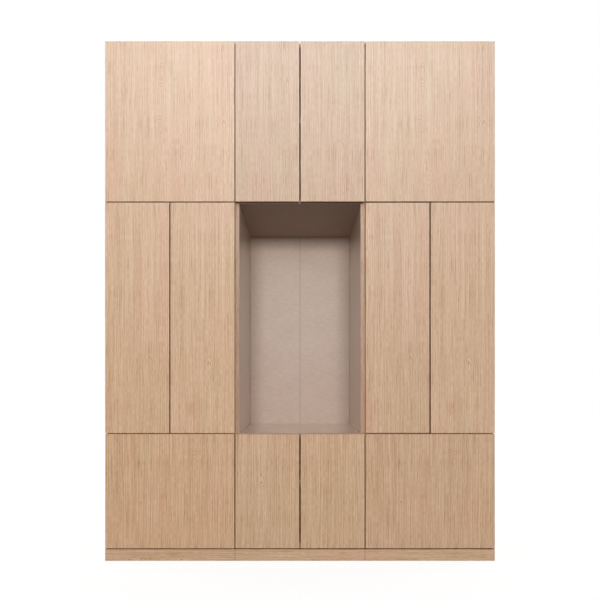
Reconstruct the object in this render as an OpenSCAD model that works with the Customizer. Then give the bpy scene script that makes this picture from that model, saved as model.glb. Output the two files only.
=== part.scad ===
// Modular wardrobe: three units side by side, twelve handleless doors and one open niche.
// X runs along the front, Y from the doors to the wall, Z up from the floor.

/* [Overall] */
// Width of each of the three units
unit_w = 600; // [450:10:700]
// Height from the floor to the top boards
total_h = 2400; // [2200:10:2600]
// Depth from the door faces to the rear edges of the sides
total_d = 580; // [450:10:650]

/* [Rows] */
// Height of the plinth boards' top edge above the floor
plinth_top = 56; // [40:1:120]
// Height of the niche floor, the top of the lower fixed shelves
niche_floor = 590; // [450:5:750]
// Height of the niche ceiling, the underside of the upper fixed shelves
niche_ceiling = 1657; // [1300:1:1800]

/* [Boards] */
// Thickness of the sides, tops, bottoms, shelves and plinth boards
board_t = 18; // [16:0.5:19]
// Thickness of the doors
door_t = 18; // [16:0.5:22]
// Thickness of the back panels
back_t = 3; // [2:0.5:5]
// Distance from the rear edges of the sides to the back panels
back_inset = 10; // [6:1:30]
// Depth of the groove that holds the back panels
groove_depth = 8; // [5:0.5:10]

/* [Gaps] */
// Gap between one row of doors and the next, and above the plinth
row_gap = 4; // [3:0.5:8]
// Gap between the doors of neighbouring units
unit_gap = 3.5; // [3:0.5:6]
// Gap between the two doors of a pair
pair_gap = 5; // [3:0.5:10]
// Gap between the top doors and the level of the wardrobe's top
top_reveal = 2; // [0:0.5:10]
// Gap between the back of a closed door and the front edges of the carcass
door_stand_off = 3; // [3:0.5:5]
// Gap in the butt joint between two plinth boards
plinth_joint = 0.6; // [0.2:0.1:3]
// Gap between the plinth boards and the floor
plinth_lift = 2; // [1:0.5:10]
// Gap between each end of an adjustable shelf and the side beside it
shelf_side_gap = 1; // [0.5:0.5:3]

/* [Shelves and rails] */
// Distance of an adjustable shelf behind the front edges of the sides
shelf_setback = 20; // [10:1:60]
// How far the adjustable shelves of the top row sit above the middle of their space
top_shelf_rise = 24; // [0:4:40]
// How far the adjustable shelves of the bottom row sit above the middle of their space
low_shelf_rise = 36; // [0:4:40]
// Distance of the hole rows from the front edges and from the back panels
hole_row_inset = 37; // [30:1:60]
// Pitch of the hole rows
hole_pitch = 32; // [25:1:50]
// Holes in each row above and below the one in use
holes_each_way = 2; // [0:1:3]
// Radius of the holes in the rows
hole_r = 2.5; // [2:0.1:3.5]
// Depth of the holes in the rows
hole_depth = 10; // [8:0.5:12]
// Height of the clothes rail's section
rail_h = 30; // [25:1:35]
// Width of the clothes rail's section
rail_w = 15; // [12:1:20]
// Wall thickness of the clothes rail
rail_wall = 1; // [0.8:0.1:2]
// Distance from the board above to the middle of the clothes rail
rail_drop = 60; // [50:1:120]

/* [Hinges] */
// Distance from the door's hinge edge to the pivot pin
pivot_inset = 8; // [7.5:0.1:8.5]
// Depth of the pivot pin below the back of the door
pivot_depth = 11; // [10.5:0.1:11.5]
// Distance from the hinge edge to the rim of the cup
cup_edge = 3; // [3:0.5:5]
// Outer radius of the hinge cup
cup_r = 17.5; // [17:0.1:18]
// Wall thickness of the hinge cup
cup_wall = 0.8; // [0.6:0.1:1]
// Radius of the pivot pin
pin_r = 1.25; // [1:0.05:1.5]
// Radial running clearance of the arm's eye on the pin
pin_fit = 0.05; // [0.02:0.01:0.1]
// Thickness of the hinge arm's sheet
arm_t = 2; // [1.5:0.1:2.5]
// Height by which the arm clears the back of a door standing open
arm_lift = 2.5; // [2:0.1:4]
// Distance from the door's ends to the middle of the outer hinges
hinge_end = 100; // [70:5:140]
// Spacing of the two screw holes in a mounting plate
plate_screw_pitch = 32; // [30:1:40]

/* [Push latches] */
// Distance from the door's free edge to the plunger
latch_inset = 50; // [40:1:90]
// Radius of the plunger
plunger_r = 4; // [3:0.5:5]
// Radial sliding clearance of the plunger in its housing
plunger_fit = 0.05; // [0.02:0.01:0.1]
// Stroke by which the plunger comes out when the door is open
plunger_stroke = 20; // [15:1:25]
// Length of plunger that stays in the housing at the end of its stroke
plunger_guide = 28; // [20:1:40]
// Wall thickness of the housing round the plunger
latch_wall = 2.5; // [2:0.5:4]

/* [Fixings] */
// Distance of the two wall brackets from the middle of each unit
bracket_x = 150; // [60:10:180]
// Radius of the screw hole to the wall
wall_hole_r = 3; // [2.5:0.5:4]
// Thickness of the brackets' sheet
bracket_t = 2.5; // [2:0.5:3]
// Radius of the connecting bolts between two units
bolt_r = 4; // [3:0.5:5]
// Height of the floor glides
glide_h = 3; // [2:0.5:8]
// Radius of the floor glides
glide_r = 8; // [5:0.5:8]

/* [Hidden] */
$fn = 48;

// How far a cutting shape runs past the surface that it opens
past = 1;

// Colours
OAK = [0.80, 0.67, 0.54];
LINEN = [0.70, 0.62, 0.56];
NICKEL = [0.74, 0.73, 0.71];
CHROME = [0.82, 0.83, 0.84];
GREY = [0.55, 0.55, 0.54];
PALE = [0.88, 0.88, 0.86];

// Unit, row and hand numbers
LEFT = 0;
MIDDLE = 1;
RIGHT = 2;
UNITS = [LEFT, MIDDLE, RIGHT];
LOW = 0;
MID = 1;
TOP = 2;
ON_LEFT = 1;
ON_RIGHT = -1;
HANDS = [ON_LEFT, ON_RIGHT];

// Planes across the depth
door_front = -total_d / 2;
door_back = door_front + door_t;
front = door_back + door_stand_off;
rear = total_d / 2;
back_front = rear - back_inset - back_t;
front_row_y = front + hole_row_inset;
rear_row_y = back_front - hole_row_inset;

// Widths
inner_w = unit_w - 2 * board_t;
side_face = inner_w / 2;
door_edge = (unit_w - unit_gap) / 2;
single_w = 2 * door_edge;
pair_w = (single_w - pair_gap) / 2;

// Heights
bottom_under = plinth_top + row_gap;
bottom_face = bottom_under + board_t;
top_under = total_h - board_t;
lower_under = niche_floor - board_t;
upper_face = niche_ceiling + board_t;
row_bottom = [bottom_under, niche_floor + row_gap / 2, niche_ceiling + row_gap / 2];
row_top = [niche_floor - row_gap / 2, niche_ceiling - row_gap / 2, total_h - top_reveal];
board_above = [lower_under, niche_ceiling, top_under];
low_shelf_under = (bottom_face + lower_under - board_t) / 2 + low_shelf_rise;
top_shelf_under = (upper_face + top_under - board_t) / 2 + top_shelf_rise;
shelf_heights = [low_shelf_under, top_shelf_under];

// Back panels and the strips that join their halves
groove_fit = 0.2;
panel_end_gap = 1;
panel_bite = groove_depth - panel_end_gap;
strip_web = 1.5;
strip_face_w = 7;
strip_face_t = 1;
strip_rear_w = 16;
fixed_rear = back_front - strip_face_t;

// Hinge measures from the pivot pin
cup_fit = 0.1;
cup_u = cup_edge + cup_r - pivot_inset;
eye_wall = 1;
eye_r = pin_r + pin_fit + eye_wall;
eye_floor_gap = 0.3;
cup_floor = -eye_r - eye_floor_gap;
cup_bottom = cup_floor - cup_wall;
flange_t = 1;
flange_w = 17;
flange_h = 58;
flange_corner = 5;
flange_offset = 9.5;
cup_screw_z = 22.5;
cup_screw_r = 2;
lug_in = 7;
lug_out = 11;
lug_u = 4;
lug_top = 3;
pin_half = 10.1;
pin_end_gap = 0.1;
arm_half = 6;
arm_bend = 4;
arm_reach = pivot_depth + arm_lift;
arm_top = arm_reach + arm_t;
pivot_x = -door_edge + pivot_inset;
pivot_y = door_back - pivot_depth;
board_u = -side_face - pivot_x;
carcass_v = front - pivot_y;
plate_screw_v = carcass_v + hole_row_inset;
saddle_lead = 14;
saddle_front = plate_screw_v - saddle_lead;
saddle_l = 38;
saddle_rear = saddle_front + saddle_l;
saddle_half = 8.5;
saddle_wall = 1.5;
saddle_fit = 0.2;
plate_wing_t = 2;
wing_gap = 0.25;
plate_block_l = 32;
plate_block_set = 2;
plate_block_half = saddle_half - saddle_wall - saddle_fit;
wing_r = 8;
plate_screw_r = 2.5;
neck_stub = 2;
arm_screw_r = 2.2;
side_screw_inset = 27;
side_screw_v = saddle_rear - side_screw_inset;
fixing_screw_inset = 8;
fixing_screw_v = saddle_rear - fixing_screw_inset;
thread_r = 2;
thread_depth = 8;

// Push latch measures from the board's front edge
latch_drop = 8;
latch_setback = 1;
tip_gap = 0.3;
tip_bevel = 0.8;
plunger_tip = -door_stand_off + tip_gap;
plunger_rear = latch_setback + plunger_guide + plunger_stroke;
plunger_l = plunger_rear - plunger_tip;
press_room = 4;
latch_end_wall = 3;
latch_r = plunger_r + plunger_fit + latch_wall;
latch_rear = plunger_rear + press_room + latch_end_wall;
foot_t = 3;
foot_half = 14;
foot_front = 8;
foot_l = 42;
foot_r = 5;
foot_screw_x = 10;
foot_screw_r = 1.8;

// Shelf supports
support_fit = 0.05;
support_l = 8;
support_half = 5;
support_h = 8;
support_stem_l = hole_depth - 1;

// Clothes rail sockets
rail_y = (front + fixed_rear) / 2;
rail_z = niche_ceiling - rail_drop;
rail_fit = 0.2;
socket_base_t = 3;
socket_wall = 2;
socket_l = 14;
socket_flange = 6;
socket_screw_r = 1.8;
rail_end_gap = 0.3;

// Wall brackets
bracket_leg = 40;
bracket_w = 20;
bracket_hole = 25;
bracket_screw_r = 2.2;
bracket_rib = 16;
bracket_rib_t = 3;

// Connecting bolts
bolt_fit = 0.1;
bolt_head_r = 7;
bolt_head_t = 1.6;
bolt_from_board = 75;
bolt_from_edge = 120;
bolt_heights = [bottom_face + bolt_from_board, top_under - bolt_from_board];
bolt_depths = [front + bolt_from_edge, back_front - bolt_from_edge];

// Plinth rails
rail_board_lift = 4;
rear_rail_inset = 40;

// Floor glides
glide_inset = 50;
glide_bevel = 0.8;

// Doors: unit, hand of the hinges, width, row
top_left = [LEFT, ON_LEFT, single_w, TOP];
top_middle_l = [MIDDLE, ON_LEFT, pair_w, TOP];
top_middle_r = [MIDDLE, ON_RIGHT, pair_w, TOP];
top_right = [RIGHT, ON_RIGHT, single_w, TOP];
mid_left_l = [LEFT, ON_LEFT, pair_w, MID];
mid_left_r = [LEFT, ON_RIGHT, pair_w, MID];
mid_right_l = [RIGHT, ON_LEFT, pair_w, MID];
mid_right_r = [RIGHT, ON_RIGHT, pair_w, MID];
low_left = [LEFT, ON_LEFT, single_w, LOW];
low_middle_l = [MIDDLE, ON_LEFT, pair_w, LOW];
low_middle_r = [MIDDLE, ON_RIGHT, pair_w, LOW];
low_right = [RIGHT, ON_RIGHT, single_w, LOW];
DOORS = [
    top_left, top_middle_l, top_middle_r, top_right,
    mid_left_l, mid_left_r, mid_right_l, mid_right_r,
    low_left, low_middle_l, low_middle_r, low_right
];
function door_unit(door) = door[0];
function door_hand(door) = door[1];
function door_w(door) = door[2];
function door_row(door) = door[3];

// Two hinges carry a short door and three a tall one
function hinge_heights(door) =
    let (low = row_bottom[door_row(door)] + hinge_end, high = row_top[door_row(door)] - hinge_end)
    door_row(door) == MID ? [low, (low + high) / 2, high] : [low, high];

function unit_x(unit) = (unit - MIDDLE) * unit_w;

// Places its children in a unit, turned over for the right hand
module in_unit(unit, hand = ON_LEFT) {
    translate([unit_x(unit), 0, 0])
        mirror([hand == ON_RIGHT ? 1 : 0, 0, 0])
            children();
}

// Places its children at each pivot pin of a door, with X into the door and Y to the rear
module at_hinges(door) {
    in_unit(door_unit(door), door_hand(door))
        for (z = hinge_heights(door))
            translate([pivot_x, pivot_y, z])
                children();
}

// Places its children at the front edge and underside of the board over a door's free corner
module at_latch(door) {
    in_unit(door_unit(door), door_hand(door))
        translate([-door_edge + door_w(door) - latch_inset, front, board_above[door_row(door)]])
            children();
}

// A cylinder along Y
module rod_y(x, from, to, r, z = 0) {
    translate([x, from, z])
        rotate([-90, 0, 0])
            cylinder(r = r, h = to - from);
}

// A cylinder along X
module rod_x(from, to, y, z, r) {
    translate([from, y, z])
        rotate([0, 90, 0])
            cylinder(r = r, h = to - from);
}

// A rectangle with round corners, centred
module round_rect(w, h, r) {
    square([w - 2 * r, h], center = true);
    square([w, h - 2 * r], center = true);
    for (x = [-1, 1], y = [-1, 1])
        translate([x * (w / 2 - r), y * (h / 2 - r)])
            circle(r = r);
}

// An upright slot shape, round at both ends, centred
module oval(w, h) {
    square([w, h - w], center = true);
    for (y = [-1, 1])
        translate([0, y * (h - w) / 2])
            circle(r = w / 2);
}

// Holes in one side panel for shelf supports, hinge plates and connecting bolts
module side_holes(unit, hand) {
    for (shelf = shelf_heights, step = [-holes_each_way:holes_each_way], y = [front_row_y, rear_row_y])
        rod_x(-side_face - hole_depth, -side_face + past, y,
            shelf - support_h / 2 + step * hole_pitch, hole_r);
    for (door = DOORS)
        if (door_unit(door) == unit && door_hand(door) == hand)
            for (z = hinge_heights(door), end = [-1, 1])
                rod_x(-side_face - hole_depth, -side_face + past, front_row_y,
                    z + end * plate_screw_pitch / 2, plate_screw_r);
    if (unit == MIDDLE || (unit == LEFT && hand == ON_RIGHT) || (unit == RIGHT && hand == ON_LEFT))
        for (z = bolt_heights, y = bolt_depths)
            rod_x(-unit_w / 2 - past, -side_face + past, y, z, bolt_r + bolt_fit);
}

module side_panel(unit, hand) {
    in_unit(unit, hand)
        difference() {
            translate([-unit_w / 2, front, glide_h])
                cube([board_t, rear - front, total_h - glide_h]);
            translate([-side_face - groove_depth, back_front - groove_fit, 0])
                cube([groove_depth + past, back_t + 2 * groove_fit, total_h + past]);
            side_holes(unit, hand);
        }
}

module left_unit_left_side() color(OAK) side_panel(LEFT, ON_LEFT);
module left_unit_right_side() color(LINEN) side_panel(LEFT, ON_RIGHT);
module middle_unit_left_side() color(LINEN) side_panel(MIDDLE, ON_LEFT);
module middle_unit_right_side() color(LINEN) side_panel(MIDDLE, ON_RIGHT);
module right_unit_left_side() color(LINEN) side_panel(RIGHT, ON_LEFT);
module right_unit_right_side() color(OAK) side_panel(RIGHT, ON_RIGHT);

// A board between the two sides of a unit
module cross_board(unit, under, board_rear, grooved_from = -1) {
    in_unit(unit)
        difference() {
            translate([-side_face, front, under])
                cube([inner_w, board_rear - front, board_t]);
            if (grooved_from >= 0)
                translate([-side_face - past, back_front - groove_fit, grooved_from])
                    cube([inner_w + 2 * past, back_t + 2 * groove_fit, groove_depth + past]);
        }
}

module top_boards() {
    color(LINEN)
        for (unit = UNITS)
            cross_board(unit, top_under, rear, top_under - past);
}

module bottom_boards() {
    color(LINEN)
        for (unit = UNITS)
            cross_board(unit, bottom_under, rear, bottom_face - groove_depth);
}

module lower_fixed_shelves() {
    color(LINEN)
        for (unit = UNITS)
            cross_board(unit, lower_under, fixed_rear);
}

module upper_fixed_shelves() {
    color(LINEN)
        for (unit = UNITS)
            cross_board(unit, niche_ceiling, fixed_rear);
}

module adjustable_shelves() {
    shelf_front = front + shelf_setback;
    color(LINEN)
        for (unit = UNITS, under = shelf_heights)
            in_unit(unit)
                translate([-side_face + shelf_side_gap, shelf_front, under])
                    cube([inner_w - 2 * shelf_side_gap, fixed_rear - shelf_front, board_t]);
}

module back_panels() {
    low = bottom_face - panel_bite;
    high = top_under + panel_bite;
    color(LINEN)
        for (unit = UNITS, hand = HANDS)
            in_unit(unit, hand)
                difference() {
                    translate([-side_face - panel_bite, back_front, low])
                        cube([side_face + panel_bite - strip_web / 2, back_t, high - low]);
                    rod_y(-bracket_x, back_front - past, back_front + back_t + past, wall_hole_r,
                        top_under - bracket_hole);
                }
}

// An H section: the web lies between the two halves and a flange covers each face of the joint
module back_joining_strips() {
    color(LINEN)
        for (unit = UNITS)
            translate([unit_x(unit), 0, bottom_face])
                linear_extrude(height = top_under - bottom_face) {
                    translate([-strip_web / 2, fixed_rear])
                        square([strip_web, back_t + 2 * strip_face_t]);
                    translate([-strip_face_w / 2, fixed_rear])
                        square([strip_face_w, strip_face_t]);
                    translate([-strip_rear_w / 2, back_front + back_t])
                        square([strip_rear_w, strip_face_t]);
                }
}

module plinth_boards() {
    color(OAK)
        for (unit = UNITS)
            translate([unit_x(unit) - (unit_w - plinth_joint) / 2, front - board_t, plinth_lift])
                cube([unit_w - plinth_joint, board_t, plinth_top - plinth_lift]);
}

module plinth_rails() {
    color(LINEN)
        for (unit = UNITS, y = [front, rear - rear_rail_inset])
            in_unit(unit)
                translate([-side_face, y, rail_board_lift])
                    cube([inner_w, board_t, bottom_under - rail_board_lift]);
}

// A stem in the side panel and a block with a flat top under the shelf
module shelf_supports() {
    color(PALE)
        for (unit = UNITS, hand = HANDS, under = shelf_heights, y = [front_row_y, rear_row_y])
            in_unit(unit, hand)
                translate([-side_face, y, under]) {
                    rod_x(-support_stem_l, past, 0, -support_h / 2, hole_r - support_fit);
                    translate([0, 0, -support_h])
                        rotate([90, 0, 90])
                            linear_extrude(height = support_l)
                                difference() {
                                    translate([-support_half, 0])
                                        square([2 * support_half, support_h]);
                                    for (x = [-1, 1])
                                        translate([x * support_half, 0])
                                            circle(r = support_half / 2);
                                }
                }
}

module clothes_rails() {
    rail_l = inner_w - 2 * (socket_base_t + rail_end_gap);
    color(CHROME)
        for (unit = [LEFT, RIGHT])
            translate([unit_x(unit) - rail_l / 2, rail_y, rail_z])
                rotate([90, 0, 90])
                    linear_extrude(height = rail_l)
                        difference() {
                            oval(rail_w, rail_h);
                            oval(rail_w - 2 * rail_wall, rail_h - 2 * rail_wall);
                        }
}

// A cradle that the rail drops into from above, on a plate screwed to the side
module rail_sockets() {
    inside_w = rail_w + 2 * rail_fit;
    inside_h = rail_h + 2 * rail_fit;
    outside_w = inside_w + 2 * socket_wall;
    outside_h = inside_h + 2 * socket_wall;
    screw_z = outside_h / 2 + socket_flange / 2;
    color(CHROME)
        for (unit = [LEFT, RIGHT], hand = HANDS)
            in_unit(unit, hand)
                translate([-side_face, rail_y, rail_z])
                    rotate([90, 0, 90])
                        difference() {
                            union() {
                                linear_extrude(height = socket_base_t)
                                    oval(outside_w, outside_h + 2 * socket_flange);
                                linear_extrude(height = socket_l)
                                    oval(outside_w, outside_h);
                            }
                            translate([0, 0, socket_base_t])
                                linear_extrude(height = socket_l) {
                                    oval(inside_w, inside_h);
                                    translate([-inside_w / 2, 0])
                                        square([inside_w, outside_h]);
                                }
                            for (end = [-1, 1])
                                translate([0, end * screw_z, -past])
                                    cylinder(r = socket_screw_r, h = socket_base_t + 2 * past);
                        }
}

// Gooseneck arm: an eye on the pin, a bend out of the cup, a neck that widens and a saddle over
// the mounting plate, with a hole for the side screw and an open slot for the fixing screw
module hinge_arm() {
    bend_u = arm_top - arm_bend;
    bend_v = arm_bend - arm_t / 2;
    difference() {
        union() {
            linear_extrude(height = 2 * arm_half, center = true) {
                circle(r = eye_r);
                translate([0, -arm_t / 2])
                    square([bend_u, arm_t]);
                intersection() {
                    translate([bend_u, bend_v])
                        difference() {
                            circle(r = arm_bend);
                            circle(r = arm_bend - arm_t);
                        }
                    translate([bend_u, -arm_bend])
                        square([arm_bend, bend_v + arm_bend]);
                }
                translate([arm_reach, bend_v])
                    square([arm_t, neck_stub]);
            }
            translate([arm_reach, 0, 0])
                rotate([90, 0, 90])
                    linear_extrude(height = arm_t)
                        polygon([
                            [bend_v, -arm_half], [saddle_front, -saddle_half],
                            [saddle_front + past, -saddle_half], [saddle_front + past, saddle_half],
                            [saddle_front, saddle_half], [bend_v, arm_half]
                        ]);
            translate([board_u + plate_wing_t + wing_gap, saddle_front, -saddle_half])
                cube([arm_top - board_u - plate_wing_t - wing_gap, saddle_l, 2 * saddle_half]);
        }
        cylinder(r = pin_r + pin_fit, h = 2 * arm_half + 2 * past, center = true);
        translate([board_u, saddle_front - past, -plate_block_half - saddle_fit])
            cube([arm_reach - board_u, saddle_l + 2 * past, 2 * (plate_block_half + saddle_fit)]);
        for (v = [side_screw_v, fixing_screw_v])
            rod_x(arm_reach - past, arm_top + past, v, 0, arm_screw_r);
        translate([arm_reach - past, fixing_screw_v, -arm_screw_r])
            cube([arm_t + 2 * past, saddle_rear - fixing_screw_v + past, 2 * arm_screw_r]);
    }
}

module hinge_arms() {
    color(NICKEL)
        for (door = DOORS)
            at_hinges(door)
                hinge_arm();
}

// A block that carries the arm, with two round-ended wings screwed into the front row of holes
module hinge_plate() {
    difference() {
        union() {
            translate([board_u, saddle_front + plate_block_set, -plate_block_half])
                cube([arm_reach - board_u, plate_block_l, 2 * plate_block_half]);
            translate([board_u, plate_screw_v, 0])
                rotate([90, 0, 90])
                    linear_extrude(height = plate_wing_t)
                        oval(2 * wing_r, plate_screw_pitch + 2 * wing_r);
        }
        for (end = [-1, 1])
            rod_x(board_u - past, board_u + plate_wing_t + past, plate_screw_v,
                end * plate_screw_pitch / 2, plate_screw_r);
        for (v = [side_screw_v, fixing_screw_v])
            rod_x(arm_reach - thread_depth, arm_reach + past, v, 0, thread_r);
    }
}

module hinge_plates() {
    color(NICKEL)
        for (door = DOORS)
            at_hinges(door)
                hinge_plate();
}

// A housing for the plunger, hung from a foot that is screwed under the board
module latch_housing() {
    difference() {
        union() {
            rod_y(0, latch_setback, latch_rear, latch_r, -latch_drop);
            translate([-latch_r / 2, foot_front, -latch_drop])
                cube([latch_r, foot_l, latch_drop]);
            translate([0, foot_front + foot_l / 2, -foot_t])
                linear_extrude(height = foot_t)
                    round_rect(2 * foot_half, foot_l, foot_r);
        }
        rod_y(0, latch_setback - past, plunger_rear + press_room, plunger_r + plunger_fit, -latch_drop);
        for (x = [-1, 1], y = [foot_front + foot_r, foot_front + foot_l - foot_r])
            translate([x * foot_screw_x, y, -foot_t - past])
                cylinder(r = foot_screw_r, h = foot_t + 2 * past);
    }
}

module latch_housings() {
    color(GREY)
        for (door = DOORS)
            at_latch(door)
                latch_housing();
}

// One leg of a wall bracket, with a round end
module bracket_plate() {
    translate([0, 0, -bracket_t])
        linear_extrude(height = bracket_t) {
            translate([-bracket_w / 2, -bracket_leg + bracket_w / 2])
                square([bracket_w, bracket_leg - bracket_w / 2]);
            translate([0, -bracket_leg + bracket_w / 2])
                circle(r = bracket_w / 2);
        }
}

// An angle with a rib in its corner: one leg under the top board, one flat on the back panel
module wall_bracket() {
    difference() {
        union() {
            bracket_plate();
            translate([0, -bracket_t, 0])
                rotate([90, 0, 0])
                    bracket_plate();
            translate([-bracket_rib_t / 2, 0, 0])
                rotate([90, 0, 90])
                    linear_extrude(height = bracket_rib_t)
                        polygon([[0, 0], [-bracket_rib, 0], [0, -bracket_rib]]);
        }
        rod_y(0, -bracket_t - past, past, wall_hole_r, -bracket_hole);
        translate([0, -bracket_hole, -bracket_t - past])
            cylinder(r = bracket_screw_r, h = bracket_t + 2 * past);
    }
}

module wall_brackets() {
    color(NICKEL)
        for (unit = UNITS, hand = HANDS)
            in_unit(unit, hand)
                translate([-bracket_x, back_front, top_under])
                    wall_bracket();
}

// A sleeve through both sides with a flat head on each inner face
module connecting_bolts() {
    color(NICKEL)
        for (x = [-unit_w / 2, unit_w / 2], z = bolt_heights, y = bolt_depths)
            translate([x, 0, 0]) {
                rod_x(-board_t - bolt_head_t, board_t + bolt_head_t, y, z, bolt_r);
                for (end = [-board_t - bolt_head_t, board_t])
                    rod_x(end, end + bolt_head_t, y, z, bolt_head_r);
            }
}

module floor_glides() {
    color(PALE)
        for (unit = UNITS, hand = HANDS, y = [front + glide_inset, rear - glide_inset])
            in_unit(unit, hand)
                translate([-(unit_w - board_t) / 2, y, 0]) {
                    cylinder(r1 = glide_r - glide_bevel, r2 = glide_r, h = glide_bevel);
                    translate([0, 0, glide_bevel])
                        cylinder(r = glide_r, h = glide_h - glide_bevel);
                }
}

// A door with a round recess for each hinge cup
module door_leaf(door) {
    low = row_bottom[door_row(door)];
    difference() {
        in_unit(door_unit(door), door_hand(door))
            translate([-door_edge, door_front, low])
                cube([door_w(door), door_t, row_top[door_row(door)] - low]);
        at_hinges(door)
            rod_y(cup_u, cup_bottom - cup_fit, pivot_depth + past, cup_r + cup_fit);
    }
}

module door_top_left() color(OAK) door_leaf(top_left);
module door_top_middle_l() color(OAK) door_leaf(top_middle_l);
module door_top_middle_r() color(OAK) door_leaf(top_middle_r);
module door_top_right() color(OAK) door_leaf(top_right);
module door_mid_left_l() color(OAK) door_leaf(mid_left_l);
module door_mid_left_r() color(OAK) door_leaf(mid_left_r);
module door_mid_right_l() color(OAK) door_leaf(mid_right_l);
module door_mid_right_r() color(OAK) door_leaf(mid_right_r);
module door_low_left() color(OAK) door_leaf(low_left);
module door_low_middle_l() color(OAK) door_leaf(low_middle_l);
module door_low_middle_r() color(OAK) door_leaf(low_middle_r);
module door_low_right() color(OAK) door_leaf(low_right);

// The flange on the back of the door: a ring round the mouth and two screw ears
module cup_flange() {
    translate([0, pivot_depth, 0])
        rotate([-90, 0, 0])
            linear_extrude(height = flange_t)
                difference() {
                    union() {
                        translate([cup_u, 0])
                            circle(r = cup_r);
                        translate([cup_u + flange_offset, 0])
                            round_rect(flange_w, flange_h, flange_corner);
                    }
                    for (end = [-1, 1])
                        translate([cup_u + flange_offset, end * cup_screw_z])
                            circle(r = cup_screw_r);
                }
}

// A cup let into the door, with two lugs that hold the ends of the pivot pin
module hinge_cup() {
    difference() {
        union() {
            difference() {
                union() {
                    rod_y(cup_u, cup_bottom, pivot_depth + flange_t, cup_r);
                    cup_flange();
                }
                rod_y(cup_u, cup_floor, pivot_depth + flange_t + past, cup_r - cup_wall);
            }
            intersection() {
                rod_y(cup_u, cup_bottom, lug_top, cup_r - cup_wall / 2);
                for (end = [-lug_out, lug_in])
                    translate([-lug_u, cup_bottom, end])
                        cube([2 * lug_u, lug_top - cup_bottom, lug_out - lug_in]);
            }
        }
        cylinder(r = pin_r + pin_fit, h = 2 * (pin_half + pin_end_gap), center = true);
    }
    cylinder(r = pin_r, h = 2 * pin_half, center = true);
}

module hinge_cups(door) {
    color(NICKEL)
        at_hinges(door)
            hinge_cup();
}

module hinge_cups_top_left() hinge_cups(top_left);
module hinge_cups_top_middle_l() hinge_cups(top_middle_l);
module hinge_cups_top_middle_r() hinge_cups(top_middle_r);
module hinge_cups_top_right() hinge_cups(top_right);
module hinge_cups_mid_left_l() hinge_cups(mid_left_l);
module hinge_cups_mid_left_r() hinge_cups(mid_left_r);
module hinge_cups_mid_right_l() hinge_cups(mid_right_l);
module hinge_cups_mid_right_r() hinge_cups(mid_right_r);
module hinge_cups_low_left() hinge_cups(low_left);
module hinge_cups_low_middle_l() hinge_cups(low_middle_l);
module hinge_cups_low_middle_r() hinge_cups(low_middle_r);
module hinge_cups_low_right() hinge_cups(low_right);

// The plunger of one push latch, with a bevelled tip at the back of the door
module plunger(door) {
    color(PALE)
        at_latch(door)
            translate([0, plunger_tip, -latch_drop])
                rotate([-90, 0, 0]) {
                    cylinder(r1 = plunger_r - tip_bevel, r2 = plunger_r, h = tip_bevel);
                    translate([0, 0, tip_bevel])
                        cylinder(r = plunger_r, h = plunger_l - tip_bevel);
                }
}

module plunger_top_left() plunger(top_left);
module plunger_top_middle_l() plunger(top_middle_l);
module plunger_top_middle_r() plunger(top_middle_r);
module plunger_top_right() plunger(top_right);
module plunger_mid_left_l() plunger(mid_left_l);
module plunger_mid_left_r() plunger(mid_left_r);
module plunger_mid_right_l() plunger(mid_right_l);
module plunger_mid_right_r() plunger(mid_right_r);
module plunger_low_left() plunger(low_left);
module plunger_low_middle_l() plunger(low_middle_l);
module plunger_low_middle_r() plunger(low_middle_r);
module plunger_low_right() plunger(low_right);

left_unit_left_side();
left_unit_right_side();
middle_unit_left_side();
middle_unit_right_side();
right_unit_left_side();
right_unit_right_side();
top_boards();
bottom_boards();
lower_fixed_shelves();
upper_fixed_shelves();
adjustable_shelves();
back_panels();
back_joining_strips();
plinth_boards();
plinth_rails();
shelf_supports();
clothes_rails();
rail_sockets();
hinge_arms();
hinge_plates();
latch_housings();
wall_brackets();
connecting_bolts();
floor_glides();
door_top_left();
door_top_middle_l();
door_top_middle_r();
door_top_right();
door_mid_left_l();
door_mid_left_r();
door_mid_right_l();
door_mid_right_r();
door_low_left();
door_low_middle_l();
door_low_middle_r();
door_low_right();
hinge_cups_top_left();
hinge_cups_top_middle_l();
hinge_cups_top_middle_r();
hinge_cups_top_right();
hinge_cups_mid_left_l();
hinge_cups_mid_left_r();
hinge_cups_mid_right_l();
hinge_cups_mid_right_r();
hinge_cups_low_left();
hinge_cups_low_middle_l();
hinge_cups_low_middle_r();
hinge_cups_low_right();
plunger_top_left();
plunger_top_middle_l();
plunger_top_middle_r();
plunger_top_right();
plunger_mid_left_l();
plunger_mid_left_r();
plunger_mid_right_l();
plunger_mid_right_r();
plunger_low_left();
plunger_low_middle_l();
plunger_low_middle_r();
plunger_low_right();
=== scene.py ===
"""Modular wardrobe: the decors of its doors and boards, its fittings and the studio round it."""

import math

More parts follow.
